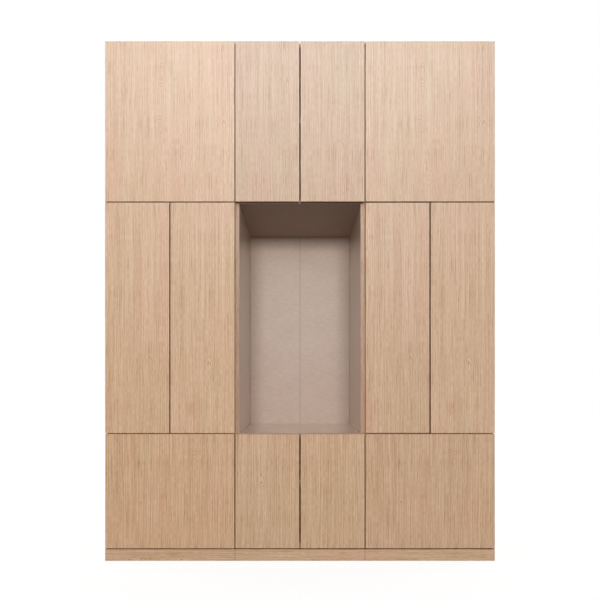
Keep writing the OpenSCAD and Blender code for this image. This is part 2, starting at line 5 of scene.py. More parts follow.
import bpy
import numpy as np
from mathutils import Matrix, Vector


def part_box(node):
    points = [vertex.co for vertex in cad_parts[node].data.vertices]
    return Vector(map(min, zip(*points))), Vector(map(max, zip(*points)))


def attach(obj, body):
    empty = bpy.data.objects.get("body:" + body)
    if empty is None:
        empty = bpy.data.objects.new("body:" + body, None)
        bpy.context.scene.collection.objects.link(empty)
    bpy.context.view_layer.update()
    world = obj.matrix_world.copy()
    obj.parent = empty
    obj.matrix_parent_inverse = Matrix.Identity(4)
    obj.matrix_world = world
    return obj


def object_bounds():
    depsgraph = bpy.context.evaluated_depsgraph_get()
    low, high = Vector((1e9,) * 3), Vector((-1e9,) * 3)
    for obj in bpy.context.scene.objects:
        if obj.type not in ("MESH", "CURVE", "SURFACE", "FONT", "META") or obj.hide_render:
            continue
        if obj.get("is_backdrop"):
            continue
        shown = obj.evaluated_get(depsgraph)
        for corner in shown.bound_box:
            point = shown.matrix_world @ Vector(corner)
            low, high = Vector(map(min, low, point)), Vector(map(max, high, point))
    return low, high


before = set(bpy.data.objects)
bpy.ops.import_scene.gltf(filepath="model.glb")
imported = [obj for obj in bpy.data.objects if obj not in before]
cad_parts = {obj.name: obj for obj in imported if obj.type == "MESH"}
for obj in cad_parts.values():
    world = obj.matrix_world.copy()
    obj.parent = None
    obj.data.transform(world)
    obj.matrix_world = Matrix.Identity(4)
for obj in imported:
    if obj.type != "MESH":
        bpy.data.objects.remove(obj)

bl_info = {
    "name": "Modular wardrobe",
    "version": (1, 0, 0),
    "blender": (4, 5, 0),
    "location": "3D View > Sidebar > Wardrobe",
    "description": "Oak and linen decors, fittings, screws and a studio for a three-unit wardrobe",
    "category": "Object",
}

MM = 0.001
WARDROBE_LOW, WARDROBE_HIGH = (np.array(corner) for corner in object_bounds())

UNIT_W = (WARDROBE_HIGH[0] - WARDROBE_LOW[0]) / 3
UNIT_CENTRES = np.array([-UNIT_W, 0.0, UNIT_W])
DOORS = sorted(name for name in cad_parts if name.startswith("door_"))
OUTER_SIDES = ["left_unit_left_side", "right_unit_right_side"]
INNER_SIDES = ["left_unit_right_side", "middle_unit_left_side", "middle_unit_right_side",
               "right_unit_left_side"]
CARCASS_FRONT = float(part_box("left_unit_left_side")[0][1])
# Each finish of a lined board: its linen's tone and roughness, its front band's tone, its boards.
# The tones paint light and shade in the open middle of the middle unit: lighter linen on the lower
# shelf and on the sides is painted light, darker linen on the upper shelf is painted shade, and on
# the inner sides the band is darker on the left as painted shade and lighter on the right as
# painted light
LINED_BOARDS = {"Outer side": (1.08, 0.22, 1.0, OUTER_SIDES),
                "Inner side L": (1.14, 0.22, 0.92, INNER_SIDES[:2]),
                "Inner side R": (1.08, 0.22, 1.12, INNER_SIDES[2:]),
                "Lower shelf": (1.58, 0.12, 1.0, ["lower_fixed_shelves"]),
                "Upper shelf": (0.70, 0.6, 1.0, ["upper_fixed_shelves"]),
                "Lined board": (1.0, 0.4, 1.0, ["top_boards", "bottom_boards", "adjustable_shelves",
                                                "plinth_rails"])}
# How far each channel follows the warmth painted on a door as painted light and shade
WARM_PARTS = (1.0, 0.5, -0.5)
# Each door's sheet of decor and its painted light: the sheet's number, which seeds the grain, then
# how light and how warm the door is painted, as painted light and shade for how the light falls
# across the doors
DOOR_SHEETS_AND_LIGHT = {"top_left": (1, 1.0, 0.02), "top_right": (1, 0.985, -0.02),
               "top_middle_l": (2, 0.888, -0.01), "top_middle_r": (2, 0.905, -0.015),
               "mid_left_l": (3, 0.993, 0.02), "mid_left_r": (3, 0.987, 0.02),
               "mid_right_l": (3, 0.985, -0.02), "mid_right_r": (3, 1.0, -0.02),
               "low_left": (4, 0.953, 0.04), "low_right": (4, 0.95, 0.0),
               "low_middle_l": (5, 0.953, 0.005), "low_middle_r": (5, 0.967, 0.005)}
# The plinth boards' sheet: what each channel keeps of the oak's colour
PLINTH_SHEET = (0.945, 0.945, 0.93)
# Linen of the backs: the node that it is on, its seed and its tone
LINEN_BACKS = {"Linen back": ("back_panels", 900.0, 0.87),
               "Linen strip": ("back_joining_strips", 910.0, 0.73)}
NICKEL_NODES = ["hinge_arms", "hinge_plates", "wall_brackets", "connecting_bolts"]
CHROME_NODES = ["clothes_rails", "rail_sockets"]
PALE_NODES = ["shelf_supports", "floor_glides"]


class WardrobeDecors(bpy.types.PropertyGroup):
    """Colours and scale of the oak and linen decors"""

    oak: bpy.props.FloatVectorProperty(
        name="Oak", description="Mean colour of the oak decor", subtype="COLOR", size=3,
        min=0, max=1, default=(0.483, 0.312, 0.195))
    oak_contrast: bpy.props.FloatProperty(
        name="Grain", description="How strongly the grain varies the oak's colour",
        subtype="FACTOR", min=0, max=1, default=0.4)
    linen: bpy.props.FloatVectorProperty(
        name="Linen", description="Mean colour of the linen decor inside", subtype="COLOR", size=3,
        min=0, max=1, default=(0.505, 0.388, 0.315))
    band: bpy.props.FloatProperty(
        name="Edge band", description="Thickness of the oak band on the boards' front edges",
        unit="LENGTH", min=0, max=0.003, default=0.0008)
    arris: bpy.props.FloatProperty(
        name="Arris", description="Rounding of the edges of doors and boards", unit="LENGTH",
        min=0, max=0.002, default=0.0012)


class WardrobeFittings(bpy.types.PropertyGroup):
    """Colours and sizes of the fittings"""

    nickel: bpy.props.FloatVectorProperty(
        name="Nickel", description="Colour of the hinges and brackets", subtype="COLOR", size=3,
        min=0, max=1, default=(0.62, 0.60, 0.57))
    chrome: bpy.props.FloatVectorProperty(
        name="Chrome", description="Colour of the clothes rails", subtype="COLOR", size=3,
        min=0, max=1, default=(0.72, 0.73, 0.74))
    grey: bpy.props.FloatVectorProperty(
        name="Grey plastic", description="Colour of the latch housings", subtype="COLOR", size=3,
        min=0, max=1, default=(0.27, 0.27, 0.26))
    pale: bpy.props.FloatVectorProperty(
        name="Pale plastic", description="Colour of the plungers, supports and glides",
        subtype="COLOR", size=3, min=0, max=1, default=(0.72, 0.72, 0.69))
    screw_r: bpy.props.FloatProperty(
        name="Screw head", description="Radius of the hinge screws' heads", unit="LENGTH",
        min=0.001, max=0.006, default=0.0035)
    cam_r: bpy.props.FloatProperty(
        name="Cam", description="Radius of the cams that draw the boards together", unit="LENGTH",
        min=0.005, max=0.02, default=0.0075)


class WardrobeStudio(bpy.types.PropertyGroup):
    """Camera and lights"""

    eye: bpy.props.FloatProperty(
        name="Eye level", description="Height of the camera", unit="LENGTH", default=0.82)
    distance: bpy.props.FloatProperty(
        name="Distance", description="Distance of the camera from the doors", unit="LENGTH",
        default=2.346)
    frame_w: bpy.props.FloatProperty(
        name="Frame", description="Width of the picture at the doors", unit="LENGTH", default=2.766)
    frame_centre: bpy.props.FloatProperty(
        name="Frame centre", description="Height of the picture's centre at the doors",
        unit="LENGTH", default=1.2055)
    key: bpy.props.FloatProperty(
        name="Key", description="Level of the broad light in front", default=0.835, min=0)
    side: bpy.props.FloatProperty(
        name="Sides", description="Level of each light at the sides", default=0.16, min=0)
    ambient: bpy.props.FloatProperty(
        name="Ambient", description="Level of the light from all round", default=0.06, min=0)
    rear: bpy.props.FloatProperty(
        name="Rear", description="Level of each light behind", default=0.25, min=0)
    flank: bpy.props.FloatProperty(
        name="Flanks", description="Level of each light beside the wardrobe", default=0.42, min=0)
    overhead: bpy.props.FloatProperty(
        name="Overhead", description="Level of the light over the wardrobe's top", default=0.55,
        min=0)
    sheen_top: bpy.props.FloatProperty(
        name="Top sheen", description="Brightness of the top light box in the doors' sheen",
        default=23.0, min=0)
    sheen_middle: bpy.props.FloatProperty(
        name="Middle sheen", description="Brightness of the middle light box in the doors' sheen",
        default=1.8, min=0)
    sheen_low: bpy.props.FloatProperty(
        name="Low sheen", description="Brightness of the low light box in the doors' sheen",
        default=2.2, min=0)


class Value:
    """A socket of a material; arithmetic on it adds Math nodes."""

    def __init__(self, finish, socket):
        self.finish = finish
        self.socket = socket

    def _with(self, operation, first, second):
        return self.finish.node("ShaderNodeMath", {"operation": operation}, {0: first, 1: second})

    def __add__(self, other):
        return self._with("ADD", self, other)

    def __sub__(self, other):
        return self._with("SUBTRACT", self, other)

    def __rsub__(self, other):
        return self._with("SUBTRACT", other, self)

    def __mul__(self, other):
        return self._with("MULTIPLY", self, other)

    def __pow__(self, other):
        return self._with("POWER", self, other)

    def __gt__(self, other):
        return self._with("GREATER_THAN", self, other)

    def __lt__(self, other):
        return self._with("LESS_THAN", self, other)

    def __abs__(self):
        return self._with("ABSOLUTE", self, 0.0)

    __radd__ = __add__
    __rmul__ = __mul__


class Finish:
    """A material under construction."""

    def __init__(self, name):
        self.material = bpy.data.materials.new(name)
        self.material.use_nodes = True
        self.tree = self.material.node_tree
        self.shader = self.tree.nodes["Principled BSDF"]

    def node(self, kind, settings=None, sockets=None, output=0):
        """Adds a node: its settings first, then a value or a link for each socket named."""
        made = self.tree.nodes.new(kind)
        for name, setting in (settings or {}).items():
            setattr(made, name, setting)
        for name, value in (sockets or {}).items():
            self.feed(made.inputs[name], value)
        return Value(self, made.outputs[output])

    def feed(self, socket, value):
        if isinstance(value, Value):
            self.tree.links.new(value.socket, socket)
        else:
            socket.default_value = value

    def place(self):
        """The object's own coordinates in metres, as three values."""
        where = self.node("ShaderNodeTexCoord", output="Object")
        split = self.node("ShaderNodeSeparateXYZ", sockets={0: where})
        return [Value(self, split.socket.node.outputs[axis]) for axis in range(3)]

    def facing(self):
        """How far the surface faces along X, Y and Z."""
        normal = self.node("ShaderNodeTexCoord", output="Normal")
        split = self.node("ShaderNodeSeparateXYZ", sockets={0: normal})
        return [abs(Value(self, split.socket.node.outputs[axis])) for axis in range(3)]

    def choose(self, mask, otherwise, chosen):
        """Mixes two numbers by a mask."""
        return self.node("ShaderNodeMix", {"data_type": "FLOAT"},
                         {"Factor": mask, "A": otherwise, "B": chosen})

    def tint(self, mask, otherwise, chosen):
        """Mixes two colours by a mask."""
        return self.node("ShaderNodeMix", {"data_type": "RGBA"},
                         {"Factor": mask, 6: otherwise, 7: chosen}, output=2)

    def stain(self, colour, share):
        """A colour of which each channel keeps a share."""
        return self.node("ShaderNodeMix", {"data_type": "RGBA", "blend_type": "MULTIPLY"},
                         {"Factor": 1.0, 6: colour, 7: (*share, 1.0)}, output=2)

    def noise(self, u, v, cell_u, cell_v, seed, detail=0.0):
        """Noise about 0 whose features are cell_u by cell_v metres."""
        at = self.node("ShaderNodeCombineXYZ",
                       sockets={0: u * (1 / cell_u), 1: v * (1 / cell_v), 2: seed})
        level = self.node("ShaderNodeTexNoise", {"noise_dimensions": "3D"},
                          {"Vector": at, "Scale": 1.0, "Detail": detail}, output="Fac")
        return level - 0.5

    def fold(self, value, width):
        """The value folded to and fro between 0 and a width."""
        return self.node("ShaderNodeMath", {"operation": "PINGPONG"}, {0: value, 1: width})

    def wave(self, phase):
        """Rises from 0 to 1 and falls back once while the phase grows by 1."""
        return self.fold(phase, 0.5) * 2.0

    def ramp(self, value, start, end):
        """A smooth step from 0 at the start to 1 at the end."""
        return self.node("ShaderNodeMapRange", {"interpolation_type": "SMOOTHSTEP"},
                         {"Value": value, "From Min": start, "From Max": end})

    def bump(self, height, depth):
        """Raises the surface by a height map; depth is in metres."""
        normal = self.node("ShaderNodeBump", sockets={"Height": height, "Distance": depth},
                           output="Normal")
        self.feed(self.shader.inputs["Normal"], normal)

    def set(self, **sockets):
        """Sets the shader's sockets; an underscore stands for a space in a name."""
        for name, value in sockets.items():
            self.feed(self.shader.inputs[name.replace("_", " ")], value)
        return self.material


def shade(colour, share):
    """A colour as a socket takes it, made lighter or darker by a share in each channel."""
    return [channel * (1 + part) for channel, part in zip(colour, share)] + [1.0]


# The oak's channels at full grain, and its two casts, as shares above and below the mean colour;
# how widely the hue swings between the casts, and how much of the colour they take
OAK_SHARES = (0.50, 0.71, 1.0)
ROSY_SHARES = (0.07, -0.05, -0.02)
SANDY_SHARES = (-0.04, 0.03, -0.10)
HUE_SWING = 1.8
CAST = 0.4
# The oak's noises: the width and length of their features in metres, what each adds to the seed,
# and its detail
OAK_NOISES = {"wander": (0.12, 0.5, 3, 0.0), "long streaks": (0.0031, 0.9, 0, 0.0),
              "short streaks": (0.0031, 0.16, 11, 0.0), "flecks": (0.0031, 0.026, 23, 0.0),
              "rib drift": (0.03, 0.9, 29, 0.0), "bands": (0.035, 1.1, 31, 1.0),
              "pores": (0.0007, 0.012, 83, 0.0), "wisps": (0.004, 0.13, 97, 0.0),
              "heart drift": (0.5, 0.35, 53, 0.0), "ring edges": (0.014, 0.04, 59, 0.0),
              "years": (0.25, 0.07, 61, 0.0), "ring patches": (0.2, 0.11, 71, 0.0),
              "hue": (0.09, 0.5, 47, 0.0)}
# How far the noises move the grain's lines, the heart lines, the rings' edges and the years, in
# metres, and the ribs, in ribs
WANDER, HEART_DRIFT, RING_EDGES, YEAR_DRIFT = 0.012, 0.08, 0.009, 0.11
RIB_DRIFT = 2.4
# The levels of their noise at which pores, wisps and ring patches begin and are whole
PORE_LEVELS, WISP_LEVELS, PATCH_LEVELS = (0.12, 0.3), (0.1, 0.3), (0.07, 0.19)
# What wisps and rings come to on average, which is taken off so that they don't darken the whole
WISPS_MEAN, RINGS_MEAN = 0.12, 0.2
# In metres: how far apart ribs, heart lines and growth rings are, how far the heart lines move from
# one sheet to the next, how deep the heart is, and where beside the heart line its rings have faded
# and where they are whole; the taper is how fast they close up the trunk
RIB_APART = 0.0098
HEARTS_APART = 0.28
RINGS_APART = 0.009
HEART_STEP = 0.037
RING_DEPTH = 0.005
RINGS_REACH = (0.04, 0.018)
TRUNK_TAPER = 0.4
# How deep the oak's relief is, in metres, how rough its surface is and how much that follows it
OAK_RELIEF = 0.00012
OAK_ROUGH = 0.52
ROUGH_SWING = 0.06
# What the banding on a door's narrow edges, the glue line round its front, and the banding on the
# boards' front edges keep of the oak's colour. All three are partly the colour of banding and glue
# and partly painted shade: the first two darken the gaps between the doors, and the third darkens
# the boards' edges that are set back behind the doors
DOOR_EDGE_AND_SHADE = (0.56, 0.40, 0.27)
GLUE_LINE_AND_SHADE = (0.26, 0.14, 0.06)
BOARD_BAND_AND_SHADE = (0.75, 0.71, 0.71)
# How far a surface faces the front where a door's round edge and its narrow edge begin, how far it
# faces up or down where it counts as lying, and how far sideways where it is a board's end
ROUND_EDGE, NARROW_EDGE, LYING, BOARD_END = 0.97, 0.6, 0.7, 0.2


def oak_colour(finish, across, along, seed, tone_and_painted_light=(1.0, 1.0, 1.0)):
    """The oak decor's colour and height at a point. Streaks of three lengths lie over even ribs,
    with some darker wisps and short dashes of pores. Growth rings are cut along the trunk, so that
    each is a hyperbola with its peak on the heart line: along it, root(distance from the heart line
    squared + depth squared) + taper times the height stays the same. They show here and there."""
    decors = bpy.context.scene.wardrobe_decors
    # Each channel's share lightens or darkens the oak: on the doors and on the boards' bands it is
    # painted light and shade, on the plinth its own tone
    oak = [channel * share for channel, share in zip(decors.oak, tone_and_painted_light)]

    def noise(kind, u=across):
        wide, long, offset, detail = OAK_NOISES[kind]
        return finish.noise(u, along, wide, long, seed + offset, detail)

    wandering = across + noise("wander") * WANDER
    long_streaks = noise("long streaks", wandering)
    short_streaks = noise("short streaks", wandering)
    flecks = noise("flecks", wandering)
    rib_drift = noise("rib drift", wandering) * RIB_DRIFT
    ribs = finish.wave(wandering * (1 / RIB_APART) + rib_drift) - 0.5
    bands = noise("bands", wandering)
    pores = finish.ramp(noise("pores", wandering), *PORE_LEVELS)
    wisps = finish.ramp(noise("wisps", wandering), *WISP_LEVELS) - WISPS_MEAN

    hearts = across + noise("heart drift") * HEART_DRIFT + HEART_STEP * (seed / 100)
    beside = finish.fold(hearts, HEARTS_APART / 2)
    depth = (beside * beside + RING_DEPTH ** 2) ** 0.5
    ragged = noise("ring edges") * RING_EDGES
    years = along + noise("years") * YEAR_DRIFT
    rings = finish.wave((depth + years * TRUNK_TAPER + ragged) * (1 / RINGS_APART))
    near_heart = finish.ramp(beside, *RINGS_REACH)
    shows = finish.ramp(noise("ring patches"), *PATCH_LEVELS)
    ring_lines = (rings ** 3.0 - RINGS_MEAN) * near_heart * shows

    grain = (long_streaks * 1.6 + short_streaks * 1.3 + flecks * 1.2 + ribs * 0.45 + bands * 0.75
             + ring_lines * 1.6 + pores * 0.35 + wisps * 0.8)
    colour = finish.tint(grain * decors.oak_contrast + 0.5, shade(oak, OAK_SHARES),
                         shade(oak, [-share for share in OAK_SHARES]))
    cast = finish.tint(noise("hue") * HUE_SWING + 0.5, shade(oak, ROSY_SHARES),
                       shade(oak, SANDY_SHARES))
    height = short_streaks * 0.5 + flecks * 0.6 - pores
    return finish.tint(CAST, colour, cast), height


# The linen's channels at full contrast, as shares above and below its mean colour
LINEN_SHARES = (0.22, 0.24, 0.25)
# Weft, warp, slubs and cloudiness: their features' sizes in metres along the first direction and
# the second, what each adds to the seed, and its detail
LINEN_NOISES = ((0.03, 0.0009, 0, 0.0), (0.0009, 0.03, 5, 0.0), (0.06, 0.005, 9, 1.0),
                (0.14, 0.1, 13, 0.0))
# On the backs: how deep the linen's relief is, in metres, how rough it is and how much that follows
LINEN_RELIEF = 0.00008
BACK_ROUGH = 0.3
BACK_SWING = 0.05
# How much of the threads' height shows in the relief of a lined board
LINING_THREADS = 0.6


def linen_colour(finish, u, v, seed, tone=1.0):
    """The linen decor's colour and height: threads under a millimetre thick both ways, and slubs
    along the first direction."""
    linen = [channel * tone for channel in bpy.context.scene.wardrobe_decors.linen]
    weft, warp, slubs, cloud = (finish.noise(u, v, wide, long, seed + offset, detail)
                                for wide, long, offset, detail in LINEN_NOISES)
    level = weft * 0.7 + warp * 0.5 + slubs * 0.42 + cloud * 0.16 + 0.5
    colour = finish.tint(level, shade(linen, LINEN_SHARES),
                         shade(linen, [-share for share in LINEN_SHARES]))
    return colour, weft + warp * 0.7


def board_finish(name, seed, centre=0.0, laid=False, lining=None, outer_faces=False,
                 tone_and_painted_light=(1.0, 1.0, 1.0)):
    """A melamine board. The oak's grain runs upright, or along X where laid. A board with no lining
    is oak all over, with darker banding on its narrow edges and a dark glue line round its front,
    which a laid board has along its length only; both are partly the colour of banding and glue and
    partly painted shade of the gaps between doors. A lined board is linen of the tone and roughness
    given, a tone that paints light and shade on some boards, with an oak band on its front edge
    that is darkened partly as painted shade, and an outer side is oak on its outer face too."""
    decors = bpy.context.scene.wardrobe_decors
    finish = Finish(name)
    x, y, z = finish.place()
    facing_x, facing_y, facing_z = finish.facing()
    if laid:
        colour, height = oak_colour(finish, z + y, x - centre, seed, tone_and_painted_light)
    else:
        cap = facing_z > LYING
        across = finish.choose(cap, x - centre + y, y)
        along = finish.choose(cap, z, x - centre)
        colour, height = oak_colour(finish, across, along, seed, tone_and_painted_light)
    rough = OAK_ROUGH
    if lining:
        tone, smooth = lining
        behind_band = CARCASS_FRONT + decors.band
        # The front band is darkened partly as painted shade of the edges set back behind the doors
        colour = finish.tint(y < behind_band, colour, finish.stain(colour, BOARD_BAND_AND_SHADE))
        flat = facing_z > LYING
        u = finish.choose(flat, x + y, x)
        v = finish.choose(flat, z, y)
        linen, threads = linen_colour(finish, u, v, seed, tone)
        is_linen = y > behind_band
        if outer_faces:
            is_linen = is_linen * (abs(x) < WARDROBE_HIGH[0] - decors.band)
        colour = finish.tint(is_linen, colour, linen)
        height = finish.choose(is_linen, height, threads * LINING_THREADS)
        rough = finish.choose(is_linen, rough, smooth)
    else:
        # The narrow edges and the glue line are darkened partly as painted shade of the gaps
        # between doors
        edge, line = finish.stain(colour, DOOR_EDGE_AND_SHADE), finish.stain(colour, GLUE_LINE_AND_SHADE)
        at_glue_line_and_shade = facing_y < ROUND_EDGE
        if laid:
            at_glue_line_and_shade = at_glue_line_and_shade * (facing_x < BOARD_END)
        colour = finish.tint(facing_y < NARROW_EDGE, finish.tint(at_glue_line_and_shade, colour, line), edge)
    finish.bump(height, OAK_RELIEF)
    return finish.set(Base_Color=colour, Roughness=height * ROUGH_SWING + rough)


def metal_finish(name, colour, roughness, brushed, seed):
    """Plated steel with faint brushing along its length."""
    finish = Finish(name)
    x, y, z = finish.place()
    contrast, depth = 0.05, 0.00004
    brushing = finish.noise(x + y, z, cell_u=0.006, cell_v=0.0004, seed=seed, detail=1.0)
    stains = finish.noise(x + y, z, cell_u=0.012, cell_v=0.015, seed=seed + 2)
    tone = finish.tint(stains * 0.5 + 0.5, shade(colour, (contrast,) * 3),
                       shade(colour, (-contrast,) * 3))
    finish.bump(brushing, depth * brushed)
    rough = brushing * 0.25 * brushed + stains * 0.08 + roughness
    return finish.set(Base_Color=tone, Metallic=1.0, Roughness=rough)


def plastic_finish(name, colour, seed):
    """Moulded plastic with a fine spark-eroded grain."""
    finish = Finish(name)
    x, y, z = finish.place()
    contrast, depth, roughness = 0.04, 0.00006, 0.42
    grain = finish.noise(x + y, z, cell_u=0.0006, cell_v=0.0006, seed=seed, detail=1.0)
    tone = finish.tint(grain * 0.6 + 0.5, shade(colour, (contrast,) * 3),
                       shade(colour, (-contrast,) * 3))
    finish.bump(grain, depth)
    return finish.set(Base_Color=tone, Roughness=grain * 0.1 + roughness)


def dress(name, material):
    """Gives a CAD node its material and returns its object."""
    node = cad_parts[name]
    node.data.materials.clear()
    node.data.materials.append(material)
    return node


def round_edges(node, width, angle=math.radians(40)):
    """Rounds a node's sharp edges: its triangles are joined, flat ones become one face each, and
    edges sharper than the angle get a small round."""
    weld = node.modifiers.new("Join corners", "WELD")
    weld.merge_threshold = 0.00001
    flat = node.modifiers.new("Join flat faces", "DECIMATE")
    flat.decimate_type = "DISSOLVE"
    flat.angle_limit = math.radians(1)
    arris = node.modifiers.new("Round arris", "BEVEL")
    arris.limit_method = "ANGLE"
    arris.angle_limit = angle
    arris.width = width
    arris.segments = 2


def solids(name):
    """Lowest and highest corners of each separate solid of a node, from left to right. Each corner
    starts with its own label and takes the lowest label of its triangles until none changes."""
    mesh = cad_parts[name].data
    points = np.empty(len(mesh.vertices) * 3, dtype=np.float32)
    mesh.vertices.foreach_get("co", points)
    mesh.calc_loop_triangles()
    triangles = np.empty(len(mesh.loop_triangles) * 3, dtype=np.int32)
    mesh.loop_triangles.foreach_get("vertices", triangles)
    corners, index = np.unique(np.round(points.reshape(-1, 3), 5), axis=0, return_inverse=True)
    triangles = index.reshape(-1)[triangles].reshape(-1, 3)
    label = np.arange(len(corners))
    settled = False
    while not settled:
        lowest = label.copy()
        np.minimum.at(lowest, triangles.ravel(), np.repeat(label[triangles].min(axis=1), 3))
        lowest = lowest[lowest]
        settled = np.array_equal(lowest, label)
        label = lowest
    groups = [corners[label == one].astype(float) for one in np.unique(label)]
    boxes = [(group.min(axis=0), group.max(axis=0)) for group in groups]
    return sorted(boxes, key=lambda box: tuple(box[0]))


def large(boxes, least):
    """The boxes whose longest side is at least this long."""
    return [box for box in boxes if (box[1] - box[0]).max() >= least]


def mesh_piece(name, points, faces, body, material):
    """A mesh object that rides on a body."""
    mesh = bpy.data.meshes.new(name)
    mesh.from_pydata(points.tolist(), [], faces)
    mesh.materials.append(material)
    mesh.validate()
    piece = bpy.data.objects.new(name, mesh)
    bpy.context.scene.collection.objects.link(piece)
    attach(piece, body)
    return piece


# Sides of a round screw head; its recess has four arms
HEAD_SIDES = 16


def cross_head(radius, height, recess):
    """A round screw head with a cross recess, on its own axis: rings of points whose height is the
    profile's, less the recess at every fourth point of the inner rings, closed by a pole at each
    end."""
    turn = np.linspace(0, 2 * math.pi, HEAD_SIDES, endpoint=False)
    rings = np.array([0.28, 0.62, 0.7, 0.9, 1.0, 1.0]) * radius
    levels = np.array([1.0, 1.0, 1.0, 0.8, 0.4, 0.0]) * height
    groove = np.array([1.0, 0.85, 0.0, 0.0, 0.0, 0.0]) * recess
    in_groove = np.arange(HEAD_SIDES) % (HEAD_SIDES // 4) == 0
    inner = np.where(in_groove, 1.0, np.array([0.45, 0, 0, 0, 0, 0])[:, None])
    z = levels[:, None] - groove[:, None] * inner
    x = rings[:, None] * np.cos(turn)
    y = rings[:, None] * np.sin(turn)
    points = np.stack([x, y, z], axis=-1).reshape(-1, 3)
    poles = np.array([[0, 0, height - recess], [0, 0, 0]])
    top, base = len(points), len(points) + 1
    step = np.arange(HEAD_SIDES)
    ahead = (step + 1) % HEAD_SIDES
    faces = []
    for ring in range(len(rings) - 1):
        inside, outside = ring * HEAD_SIDES, (ring + 1) * HEAD_SIDES
        around = [inside + step, outside + step, outside + ahead, inside + ahead]
        faces += np.stack(around, axis=1).tolist()
    last = (len(rings) - 1) * HEAD_SIDES
    pairs = list(zip(step.tolist(), ahead.tolist()))
    faces += [[top, one, other] for one, other in pairs]
    faces += [[base, last + other, last + one] for one, other in pairs]
    return np.concatenate([points, poles]), faces


def turned_to(direction):
    """A right-handed set of axes, as rows, whose third is a direction along X, Y or Z."""
    third = np.array(direction, dtype=float)
    first = np.roll(np.abs(third), 1)
    return np.stack([first, np.cross(third, first), third])


def heads(name, places, direction, radius, height, recess, body, material):
    """One piece of like heads: each place is a point and each head stands out along the direction,
    or along its own where there is one for each place."""
    shape, faces = cross_head(radius, height, recess)
    directions = direction if len(np.shape(direction)) > 1 else [direction] * len(places)
    points = np.concatenate([shape @ turned_to(way) + place
                             for place, way in zip(places, directions)])
    all_faces = [[corner + len(shape) * copy for corner in face]
                 for copy in range(len(places)) for face in faces]
    piece = mesh_piece(name, points, all_faces, body, material)
    piece.data.shade_flat()
    return piece


def unit_centre(box):
    """Across the wardrobe: the middle of a box, and the middle of the unit that it is in."""
    middle = (box[0][0] + box[1][0]) / 2
    return middle, float(UNIT_CENTRES[np.abs(UNIT_CENTRES - middle).argmin()])


def hand_of(box):
    """+1 for a fitting on the left side of its unit and -1 for one on the right, by its middle."""
    middle, unit = unit_centre(box)
    return 1 if middle < unit else -1


def at_hand(box, inset):
    """X at a distance inside the face of a fitting that looks to the middle of its unit."""
    return box[1][0] - inset if hand_of(box) > 0 else box[0][0] + inset


class WARDROBE_OT_doors(bpy.types.Operator):
    """Gives the twelve doors their upright oak decor, each lighter or darker and warmer or cooler
    as painted light and shade, and their fine round edges
    """

    bl_idname = "wardrobe.doors"
    bl_label = "Doors"

    def execute(self, context):
        arris = context.scene.wardrobe_decors.arris
        for name in DOORS:
            _, unit = unit_centre(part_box(name))
            # Each door's lightness and warmth are painted light and shade
            number, painted_lightness, painted_warmth = DOOR_SHEETS_AND_LIGHT[name.removeprefix("door_")]
            tone_and_painted_light = [painted_lightness * (1 + painted_warmth * part) for part in WARM_PARTS]
            oak = board_finish(f"Oak {name}", seed=100.0 * number, centre=unit, tone_and_painted_light=tone_and_painted_light)
            round_edges(dress(name, oak), arris)
        return {"FINISHED"}


class WARDROBE_OT_boards(bpy.types.Operator):
    """Gives the sides, shelves, tops and bottoms their linen decor, some boards lighter or darker
    as painted light and shade, with oak on the front edges
    """

    bl_idname = "wardrobe.boards"
    bl_label = "Boards"

    def execute(self, context):
        arris = context.scene.wardrobe_decors.arris
        for count, (title, (tone, rough, band, boards)) in enumerate(LINED_BOARDS.items()):
            upright = boards[0].endswith("_side")
            # The linen's tone and the band's tone are painted light and shade on some boards
            lined = board_finish(title, seed=700.0 + 20 * count, laid=not upright,
                                 lining=(tone, rough), outer_faces=boards == OUTER_SIDES,
                                 tone_and_painted_light=(band,) * 3)
            for name in boards:
                round_edges(dress(name, lined), arris / 2)
        return {"FINISHED"}


class WARDROBE_OT_plinth(bpy.types.Operator):
    """Gives the three plinth boards their oak decor with the grain lying down"""

    bl_idname = "wardrobe.plinth"
    bl_label = "Plinth"

    def execute(self, context):
        oak = board_finish("Oak plinth", seed=800.0, laid=True, tone_and_painted_light=PLINTH_SHEET)
        round_edges(dress("plinth_boards", oak), context.scene.wardrobe_decors.arris)
        return {"FINISHED"}


class WARDROBE_OT_backs(bpy.types.Operator):
    """Gives the back panels and the strips between their halves the linen decor"""

    bl_idname = "wardrobe.backs"
    bl_label = "Backs"

    def execute(self, context):
        for name, (node, seed, tone) in LINEN_BACKS.items():
            finish = Finish(name)
            x, y, z = finish.place()
            colour, threads = linen_colour(finish, x + y, z, seed, tone)
            finish.bump(threads, LINEN_RELIEF)
            dress(node, finish.set(Base_Color=colour, Roughness=threads * BACK_SWING + BACK_ROUGH))
        return {"FINISHED"}


class WARDROBE_OT_metal(bpy.types.Operator):
    """Gives hinges, plates, brackets and bolts their nickel, and the clothes rails their chrome"""

    bl_idname = "wardrobe.metal"
    bl_label = "Metal fittings"

    def execute(self, context):
        fittings = context.scene.wardrobe_fittings
        nickel = metal_finish("Nickel plate", fittings.nickel, roughness=0.34, brushed=1.0,
                              seed=40.0)
        chrome = metal_finish("Chrome plate", fittings.chrome, roughness=0.12, brushed=0.15,
                              seed=50.0)
        cups = [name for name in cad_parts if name.startswith("hinge_cups_")]
        for name in NICKEL_NODES + cups:
            dress(name, nickel)
        for name in CHROME_NODES:
            dress(name, chrome)
        return {"FINISHED"}


class WARDROBE_OT_plastic(bpy.types.Operator):
    """Gives the latches, shelf supports and floor glides their moulded plastic"""

    bl_idname = "wardrobe.plastic"
    bl_label = "Plastic fittings"

    def execute(self, context):
        fittings = context.scene.wardrobe_fittings
        grey = plastic_finish("Grey plastic", fittings.grey, seed=60.0)
        pale = plastic_finish("Pale plastic", fittings.pale, seed=61.0)
        dress("latch_housings", grey)
        plungers = [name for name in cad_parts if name.startswith("plunger_")]
        for name in PALE_NODES + plungers:
            dress(name, pale)
        return {"FINISHED"}


